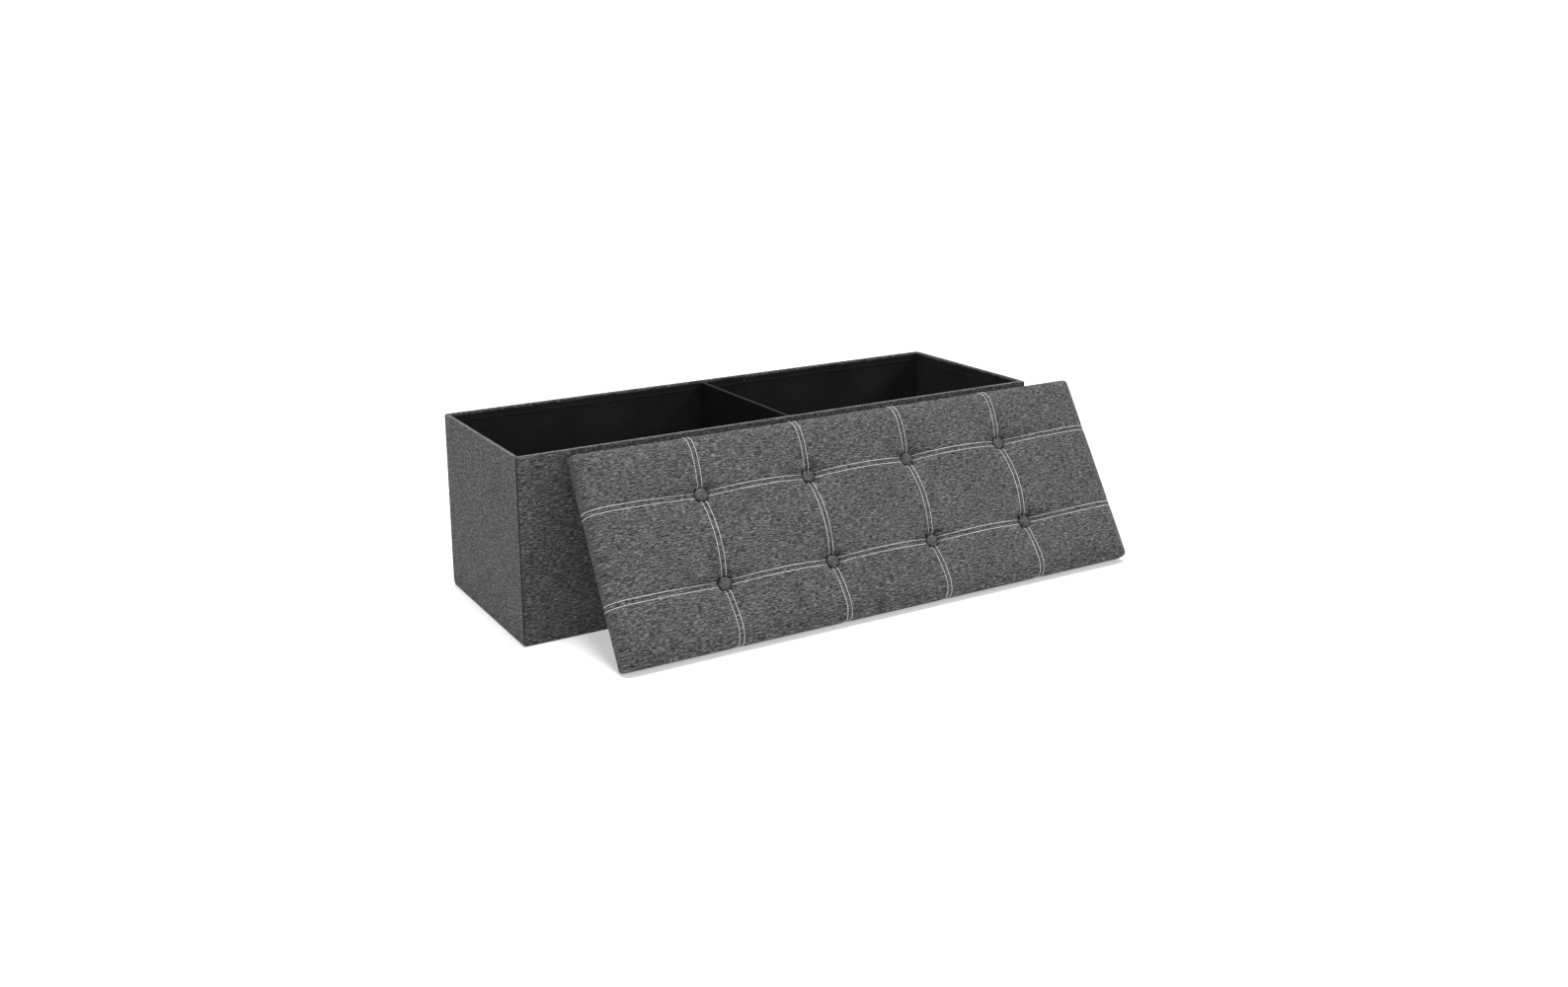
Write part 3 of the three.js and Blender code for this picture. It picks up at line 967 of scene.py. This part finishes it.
def along_seam(values, marks, half):
    """Seam depth along a line that meets buttons at marks and the pad's edge at +-half."""
    nearest = np.min(np.abs(values[:, None] - np.array(marks)[None]), axis=1)
    bay = np.full_like(values, abs(marks[1] - marks[0]))
    outside = (values > max(marks)) | (values < min(marks))
    bay[outside] = 2 * (half - max(marks)) * 0.95
    return seam_fall(nearest, bay)


def seam_section(away):
    """Small relief across a seam: a groove at the join and a pull at each line of stitches."""
    groove_depth, groove_width = 0.9 * MM, 0.8 * MM
    pull_depth, pull_width = 0.55 * MM, 1.0 * MM
    groove = groove_depth * np.exp(-(away / groove_width) ** 2)
    pull = pull_depth * np.exp(-((away - STITCH_OFFSET) / pull_width) ** 2)
    return groove + pull


def relax(field, fixed, xs, ys, source):
    """Membrane over the grid, held where fixed, pushed up by source."""
    hx = np.gradient(xs)[None, :]
    hy = np.gradient(ys)[:, None]
    wx = 1 / hx[:, 1:-1] ** 2
    wy = 1 / hy[1:-1] ** 2
    free = ~fixed[1:-1, 1:-1]
    for _ in range(RELAX_ROUNDS):
        inner = (field[1:-1, 2:] + field[1:-1, :-2]) * wx + (field[2:, 1:-1] + field[:-2, 1:-1]) * wy
        inner = (inner + source) / (2 * (wx + wy))
        field[1:-1, 1:-1][free] = inner[free]
    return field


def pad_heights(xs, ys):
    """Height of the tufted cover over the grid, before its edges turn down."""
    grid_x, grid_y = np.meshgrid(xs, ys)
    away_x, away_y = seams_away(grid_x, grid_y)
    band = STITCH_OFFSET + 0.2 * MM
    on_x, on_y = away_x <= band, away_y <= band
    fall_x = along_seam(grid_y.ravel(), SEAM_YS, HALF_DEPTH).reshape(grid_y.shape)
    fall_y = along_seam(grid_x.ravel(), SEAM_XS, HALF_LENGTH).reshape(grid_x.shape)
    depth = np.zeros_like(grid_x)
    depth[on_x] = fall_x[on_x]
    depth[on_y] = fall_y[on_y]
    both = on_x & on_y
    depth[both] = np.maximum(fall_x, fall_y)[both]
    button = np.hypot(away_x, away_y)
    under = button < UNDER_BUTTON
    depth[under] = BUTTON_DEPTH + SEAM_DEPTH
    fixed = on_x | on_y | under
    fixed[0, :] = fixed[-1, :] = fixed[:, 0] = fixed[:, -1] = True
    depth = relax(depth, fixed, xs, ys, 0.0)
    crown = relax(np.zeros_like(depth), fixed, xs, ys, 1.0)
    crown = (crown / crown.max()) ** 0.8 * CROWN
    relief = np.where(away_x < away_y, seam_section(away_x), seam_section(away_y))
    moat_depth, moat_width, moat_radius = 2.5 * MM, 1.7 * MM, UNDER_BUTTON + MM
    relief += moat_depth * np.exp(-((button - moat_radius) / moat_width) ** 2)
    return LID_THICKNESS + swell(grid_x, grid_y) - depth + crown - relief + pleat_field(grid_x, grid_y)


def swell(grid_x, grid_y):
    """How far the foam lifts the whole pad, away from its edges."""
    reach_x, reach_y, power = 110 * MM, 100 * MM, 2.2
    rise_x = np.clip((HALF_LENGTH - np.abs(grid_x)) / reach_x, 0, 1)
    rise_y = np.clip((HALF_DEPTH - np.abs(grid_y)) / reach_y, 0, 1)
    return PAD_SWELL * (1 - (1 - rise_x) ** power) * (1 - (1 - rise_y) ** power)


def pleat_field(grid_x, grid_y):
    """Shallow folds that run out from each button."""
    depth, start, length = 0.7 * MM, 13 * MM, 17 * MM
    total = np.zeros_like(grid_x)
    for number, (bx, by) in enumerate((x, y) for y in SEAM_YS for x in SEAM_XS):
        dx, dy = grid_x - bx, grid_y - by
        radius = np.hypot(dx, dy)
        angle = np.arctan2(dy, dx)
        fade = np.exp(-np.clip(radius - start, 0, None) / length) * np.clip(radius / start, 0, 1)
        turn = np.sin(8 * angle + number) * 0.5 + np.sin(13 * angle + 2 * number) * 0.4
        total += depth * fade * turn
    return total


def rounded_edges(xs, ys, heights):
    """Points of the pad's top with its four edges turned down to the side walls."""
    grid_x, grid_y = np.meshgrid(xs, ys)
    dx = np.clip(np.abs(grid_x) - (HALF_LENGTH - PAD_FALL), 0, None)
    dy = np.clip(np.abs(grid_y) - (HALF_DEPTH - PAD_FALL), 0, None)
    ring = np.maximum(dx, dy)
    power = 16
    rounded = (dx ** power + dy ** power) ** (1 / power)
    factor = np.where(rounded > 0, ring / np.maximum(rounded, 1e-9), 1.0)
    x = np.sign(grid_x) * (np.abs(grid_x) - dx + dx * factor)
    y = np.sign(grid_y) * (np.abs(grid_y) - dy + dy * factor)
    keep = np.sqrt(np.clip(1 - (ring / PAD_FALL) ** 3.2, 0, 1))
    z = LID_THICKNESS - PAD_RADIUS * (1 - keep) + (heights - LID_THICKNESS) * keep
    return np.stack([x, y, z], axis=-1)


def lid_cover():
    """The tufted cover with its side walls and the return under the board; also gives its grid."""
    xs, ys = pad_lines(HALF_LENGTH, SEAM_XS), pad_lines(HALF_DEPTH, SEAM_YS)
    top = rounded_edges(xs, ys, pad_heights(xs, ys))
    vertices = list(top.reshape(-1, 3))
    grid_x, grid_y = np.meshgrid(xs, ys)
    uvs = list(np.stack([grid_x.ravel(), grid_y.ravel()], axis=-1))
    faces = grid_faces(len(ys), len(xs))
    ring = boundary_loop(len(ys), len(xs))
    edge = np.array([vertices[i] for i in ring])
    edge_uv = np.array([uvs[i] for i in ring])
    outward = edge_outward(edge)
    pinch = -0.8 * MM * seam_nearness(edge, outward)
    turned = 12 * MM
    for share in (0.25, 0.5, 0.72, 0.88, 0.97):
        travel = share * PAD_SIDE
        bulge = 0.9 * MM * math.sin(math.pi * share)
        points = edge + outward * (bulge + pinch)[:, None]
        points[:, 2] = PAD_SIDE - travel
        ring = add_ring(vertices, uvs, faces, ring, points, edge_uv + outward[:, :2] * (travel + turned))
    for inset in (0.8 * MM, 6 * MM, COVER_RETURN):
        points = edge.copy()
        points[:, :2] = inset_rectangle(edge[:, :2], inset)
        points[:, 2] = 0.0
        ring_uv = edge_uv + outward[:, :2] * (PAD_SIDE + inset + turned)
        ring = add_ring(vertices, uvs, faces, ring, points, ring_uv)
    piece = new_object("lid_tufted_cover", vertices, faces, uvs)
    thicken(piece, 1.0 * MM)
    smooth(piece, 60)
    lean(piece)
    finish_piece(piece, "lid", LINEN, "outer_fabric", "lid_cover")
    return xs, ys, top


def add_ring(vertices, uvs, faces, previous, points, ring_uvs):
    """Joins a new ring of points to the previous ring, and gives the new ring's indices."""
    start = len(vertices)
    count = len(previous)
    vertices += list(points)
    uvs += list(ring_uvs)
    for k in range(count):
        following = (k + 1) % count
        faces.append((previous[k], start + k, start + following, previous[following]))
    return list(range(start, start + count))


def edge_outward(edge):
    """Unit directions out of the pad's outline, square to each side and diagonal at the corners."""
    out = np.zeros_like(edge)
    near_x = np.abs(np.abs(edge[:, 0]) - HALF_LENGTH) < PAD_RADIUS * 0.4
    near_y = np.abs(np.abs(edge[:, 1]) - HALF_DEPTH) < PAD_RADIUS * 0.4
    out[near_x, 0] = np.sign(edge[near_x, 0])
    out[near_y, 1] = np.sign(edge[near_y, 1])
    return out / np.linalg.norm(out, axis=1)[:, None]


def seam_nearness(edge, outward):
    """1 where a seam crosses the outline, falling to 0 beside it."""
    away_x, away_y = seams_away(edge[:, 0], edge[:, 1])
    width = 9 * MM
    away = np.where(np.abs(outward[:, 1]) > 0.5, away_x, away_y)
    return np.exp(-(away / width) ** 2)


def inset_rectangle(points, inset):
    reach = np.array([HALF_LENGTH - inset, HALF_DEPTH - inset])
    return np.clip(points, -reach, reach)


def lid_foam(top):
    """The foam, just under the cover, flat where it lies on the board."""
    low_z, gap, spread = 7.9 * MM, 2.2 * MM, 4
    inner = top.copy()
    inner[..., :2] *= np.array([(HALF_LENGTH - gap) / HALF_LENGTH, (HALF_DEPTH - gap) / HALF_DEPTH])
    lowest = top[..., 2].copy()
    for _ in range(spread):
        wide = np.pad(lowest, 1, mode="edge")
        around = [wide[i:i + lowest.shape[0], j:j + lowest.shape[1]] for i in range(3) for j in range(3)]
        lowest = np.min(around, axis=0)
    inner[..., 2] = np.maximum(lowest - 2.0 * MM, low_z + MM)
    rows, columns = inner.shape[:2]
    vertices = list(inner.reshape(-1, 3))
    uvs = [tuple(v[:2]) for v in vertices]
    faces = grid_faces(rows, columns)
    loop = boundary_loop(rows, columns)
    points = np.array([vertices[i] for i in loop])
    points[:, 2] = low_z
    ring = add_ring(vertices, uvs, faces, loop, points, points[:, :2])
    faces.append(tuple(ring[::-1]))
    piece = new_object("lid_foam_pad", vertices, faces, uvs)
    smooth(piece, 50)
    lean(piece)
    finish_piece(piece, "lid", FOAM, "foam", "lid_foam")


def node_box(node, matrix):
    """Lowest and highest corner of a CAD node's vertices, seen through a matrix."""
    points = [matrix @ v.co for v in frame["nodes"][node].data.vertices]
    low = Vector([min(p[i] for p in points) for i in range(3)])
    high = Vector([max(p[i] for p in points) for i in range(3)])
    return low, high


def lid_board():
    """The lid's board with its corners rounded off, so that they stay inside the cover."""
    low, high = node_box("lid_board", LID.inverted())
    radius, bevel = 9 * MM, 0.4 * MM
    outline = []
    for x, y, start in ((high.x - radius, high.y - radius, 0), (low.x + radius, high.y - radius, 90),
                        (low.x + radius, low.y + radius, 180), (high.x - radius, low.y + radius, 270)):
        for angle in np.radians(np.linspace(start, start + 90, 9)):
            outline.append((x + radius * math.cos(angle), y + radius * math.sin(angle)))
    vertices = []
    for inset, z in ((bevel, low.z), (0.0, low.z + bevel), (0.0, high.z - bevel), (bevel, high.z)):
        for x, y in outline:
            vertices.append((x - math.copysign(inset, x), y - math.copysign(inset, y), z))
    faces = tube_faces(4, len(outline), flip_caps=True)
    piece = new_object("lid_board_panel", vertices, faces, [v[:2] for v in vertices])
    lean(piece)
    finish_piece(piece, "lid", HARDBOARD, "board", "lid_board")


def normals_of(top):
    n = np.cross(np.gradient(top, axis=1), np.gradient(top, axis=0))
    return n / np.linalg.norm(n, axis=-1)[..., None]


def lid_stitching(xs, ys, top):
    """Two lines of light stitches along every seam, over the edges and down the sides."""
    normals = normals_of(top)
    paths = []
    for marks, lines, is_column in ((SEAM_XS, xs, True), (SEAM_YS, ys, False)):
        for mark in marks:
            for sign in (-1, 1):
                k = int(np.argmin(np.abs(lines - (mark + sign * STITCH_OFFSET))))
                points = top[:, k] if is_column else top[k]
                up = normals[:, k] if is_column else normals[k]
                paths += split_at_buttons(*with_sides(points, up))
    piece = stitches("lid_stitching", paths, pitch=4.3 * MM, length=3.7 * MM, radius=0.44 * MM)
    lean(piece)
    finish_piece(piece, "lid", WHITE_THREAD, "outer_fabric")


def with_sides(points, up):
    """The path, carried down the side walls at both ends."""
    level = np.array([1, 1, 0])
    out_first = (points[0] - points[-1]) * level
    out_first /= np.linalg.norm(out_first)
    rises = PAD_SIDE - np.linspace(PAD_SIDE * 0.95, PAD_SIDE * 0.1, 5)
    before = np.array([points[0] * level + np.array([0, 0, rise]) for rise in rises])
    after = np.array([points[-1] * level + np.array([0, 0, rise]) for rise in rises[::-1]])
    all_points = np.concatenate([before, points, after])
    all_up = np.concatenate([[out_first] * 5, up, [-out_first] * 5])
    return all_points, all_up


def split_at_buttons(points, up):
    """Leaves out the stretch of a path that a button covers."""
    covered = 11.5 * MM
    centres = np.array([(x, y) for y in SEAM_YS for x in SEAM_XS])
    away = np.min(np.linalg.norm(points[:, None, :2] - centres[None], axis=2), axis=1)
    shown = away > covered
    parts, start = [], None
    for k, visible in enumerate(shown):
        if visible and start is None:
            start = k
        if start is not None and (not visible or k == len(shown) - 1):
            stop = k if not visible else k + 1
            if stop - start > 2:
                parts.append((points[start:stop], up[start:stop]))
            start = None
    return parts


def buttons():
    """Domed buttons in the lid's fabric, gathered under their rims."""
    low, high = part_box("button_1")
    radius = (high.x - low.x) / 2
    height = 7.6 * MM
    floor = LID_THICKNESS - 18.4 * MM
    # The dome's rings, as shares of the button's radius and height.
    profile = [(0.35, -0.05), (0.8, -0.02), (0.95, 0.12), (1.0, 0.32), (0.985, 0.5), (0.93, 0.68),
               (0.82, 0.83), (0.66, 0.92), (0.45, 0.975), (0.22, 0.995)]
    section = circle(48)
    for number in range(8):
        place = LID.inverted() @ node_centre(f"button_{number + 1}")
        vertices, uvs = [], []
        for share, rise in profile:
            gathered = 0.012 if 0.05 < rise < 0.5 else 0
            for k, (c, s) in enumerate(section):
                angle = 2 * math.pi * k / len(section)
                r = radius * share * (1 + gathered * math.sin(17 * angle + number))
                x, y = place.x + r * c, place.y + r * s
                vertices.append((x, y, floor + height * rise))
                uvs.append((x + rise * height * c, y + rise * height * s))
        faces = tube_faces(len(profile), len(section), flip_caps=True)
        piece = new_object(f"tufting_button_{number + 1}", vertices, faces, uvs)
        subdivide(piece)
        smooth(piece, 60)
        lean(piece)
        finish_piece(piece, "lid", LINEN, "outer_fabric", f"button_{number + 1}")
        # A ring of painted shade round the button's foot.
        painted_button_shade(number, place, radius + 1.2 * MM, floor + 1.3 * MM)


def painted_button_shade(number, place, major, level):
    """Painted shade round a button: a near-black ring at the foot of the dome stands for the shadow in the
    deep gap where the cover is drawn in.
    """
    minor = 1.75 * MM
    turns, section = circle(56), circle(8)
    vertices = []
    for turn_c, turn_s in turns:
        for c, s in section:
            reach = major + minor * c
            vertices.append((place.x + reach * turn_c, place.y + reach * turn_s, level + minor * s))
    # One row more than there are turns: its faces come back to the first ring.
    rows = grid_faces(len(turns) + 1, len(section), closed=True)
    faces = [[i % len(vertices) for i in face] for face in rows]
    piece = new_object(f"button_ring_{number + 1}", vertices, faces)
    smooth(piece, 70)
    lean(piece)
    finish_piece(piece, "lid", BLACK_THREAD_AND_SHADE, "outer_fabric")


def node_centre(node):
    low, high = node_box(node, Matrix.Identity(4))
    return (low + high) / 2


def underside():
    """Black cloth stapled under the lid, and the staples along its edge."""
    margin = 12 * MM
    half_x, half_y = HALF_LENGTH - margin, HALF_DEPTH - margin
    xs = columns_between(-half_x, half_x, step=14 * MM)
    ys = columns_between(-half_y, half_y, step=14 * MM)

    def place(u, v, rise):
        inside = min(EDGE_FADE, half_x - abs(u), half_y - abs(v)) / EDGE_FADE
        return (u, v, -1.0 * MM + (0.2 * MM + rise) * inside)

    piece = sheet_grid("lid_underside_cloth", place, xs, ys, 81, LINING_WAVE, LINING_SHEET, flip=True)
    lean(piece)
    finish_piece(piece, "lid", NONWOVEN, "lining", "lid_underside")
    corner = Vector((half_x - 5 * MM, half_y - 5 * MM))
    staples = stitched_rectangle("lid_staples", -corner, corner, -1.15 * MM, -1,
                                 pitch=42 * MM, length=10 * MM, radius=0.5 * MM)
    lean(staples)
    finish_piece(staples, "lid", ZINC, "tie_metal")


def lid():
    xs, ys, top = lid_cover()
    lid_foam(top)
    lid_board()
    lid_stitching(xs, ys, top)
    buttons()
    underside()


def carried_over():
    """Materials for the CAD nodes that stay."""
    for name, node in frame["nodes"].items():
        if node.hide_render:
            continue
        material = NONWOVEN
        if name.endswith("_board"):
            material = HARDBOARD
        elif name.startswith("button_tie"):
            material = ZINC
        node.data.materials.clear()
        node.data.materials.append(material)


# ---- Studio ----

SENSOR = 36
SKY_BEHIND = (0.5, 0.866, 0.0)
SKY_SIDES = 0.25
SKY_WHITE = 1.04

CAMERA = {"azimuth": -30.167, "elevation": 10.957, "roll": -0.755, "distance": 3.0413,
          "target": (0.0908, 0.0, 0.4356), "focal": 1540.3 / 1588, "lens_drop": -150 / 1588}


def camera():
    data = bpy.data.cameras.new("camera")
    data.sensor_width = SENSOR
    data.lens = CAMERA["focal"] * SENSOR
    data.shift_y = CAMERA["lens_drop"]
    data.clip_start = 0.05
    azimuth, elevation = math.radians(CAMERA["azimuth"]), math.radians(CAMERA["elevation"])
    back = Vector((math.sin(azimuth) * math.cos(elevation),
                   -math.cos(azimuth) * math.cos(elevation), math.sin(elevation)))
    turn = back.to_track_quat("Z", "Y").to_matrix() @ Matrix.Rotation(math.radians(CAMERA["roll"]), 3, "Z")
    eye = bpy.data.objects.new("camera", data)
    place = Vector(CAMERA["target"]) + back * CAMERA["distance"]
    eye.matrix_world = Matrix.Translation(place) @ turn.to_4x4()
    bpy.context.scene.collection.objects.link(eye)
    bpy.context.scene.camera = eye


def sun(name, toward, strength, spread):
    """Even light arriving from the direction toward."""
    data = bpy.data.lights.new(name, "SUN")
    data.energy = strength
    data.angle = math.radians(spread)
    lamp = bpy.data.objects.new(name, data)
    lamp.rotation_euler = Vector(toward).to_track_quat("Z", "Y").to_euler()
    bpy.context.scene.collection.objects.link(lamp)


def backdrop():
    """A white sky behind the bench that dims to the sides and overhead."""
    world = bpy.data.worlds.new("studio")
    world.use_nodes = True
    tree = world.node_tree
    place = tree.nodes.new("ShaderNodeTexCoord")
    facing = tree.nodes.new("ShaderNodeVectorMath")
    facing.operation = "DOT_PRODUCT"
    facing.inputs[1].default_value = SKY_BEHIND
    tree.links.new(place.outputs["Generated"], facing.inputs[0])
    spread = tree.nodes.new("ShaderNodeMapRange")
    limits = {"From Min": 0.35, "From Max": 0.7, "To Min": SKY_SIDES, "To Max": SKY_WHITE}
    for socket, value in limits.items():
        spread.inputs[socket].default_value = value
    tree.links.new(facing.outputs["Value"], spread.inputs["Value"])
    tree.links.new(spread.outputs["Result"], tree.nodes["Background"].inputs[1])
    tree.nodes["Background"].inputs[0].default_value = (1, 1, 1, 1)
    bpy.context.scene.world = world


def studio():
    backdrop()
    sun("key_light", (-0.82, -0.30, 0.42), strength=0.95, spread=35)
    sun("front_light", (0.62, -0.62, 0.5), strength=0.8, spread=14)
    sun("top_light", (0.04, -0.04, 1.0), strength=3.9, spread=18)
    nodes = Nodes("floor_paint")
    tone = nodes.noise(nodes.object_map(), (3, 3, 3), detail=2.0)
    nodes.paint(tone, (0.3, grey(0.61)), (0.7, grey(0.63)))
    nodes.set(roughness=0.7, specular=0.2)
    nodes.shader.inputs["Emission Color"].default_value = (1, 1, 1, 1)
    nodes.shader.inputs["Emission Strength"].default_value = 0.4
    reach = 60.0
    corners = [(-reach, -reach, 0), (reach, -reach, 0), (reach, reach, 0), (-reach, reach, 0)]
    floor = new_object("studio_floor", corners, [(0, 1, 2, 3)])
    floor.location.z = -0.3 * MM
    floor.data.materials.append(nodes.material)
    bpy.context.scene.view_settings.view_transform = "Standard"


def cut_size(piece):
    """How wide and long a cloth was cut, from its weave map, which is in metres."""
    uvs = np.zeros(2 * len(piece.data.loops))
    piece.data.uv_layers["Weave"].data.foreach_get("uv", uvs)
    uvs = uvs.reshape(-1, 2)
    return tuple(float(v) for v in uvs.max(axis=0) - uvs.min(axis=0))


def declare_sheets():
    """Reads the cut size of every flat cloth piece wide enough to be a sheet; nothing is kept."""
    kinds = ("fabric", "hem", "cloth", "sheet", "ribbon")
    for piece in list(bpy.context.scene.objects):
        if piece.type != "MESH" or "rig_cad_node" in piece or not piece.name.endswith(kinds):
            continue
        if min(cut_size(piece)) < NARROWEST_SHEET:
            continue
        cut_size(piece)


camera()
walls()
foot_hems()
painted_corner_shades()
painted_rim_highlights()
linings()
divider()
base_boards()
bottom()
lid()
carried_over()
declare_sheets()
studio()
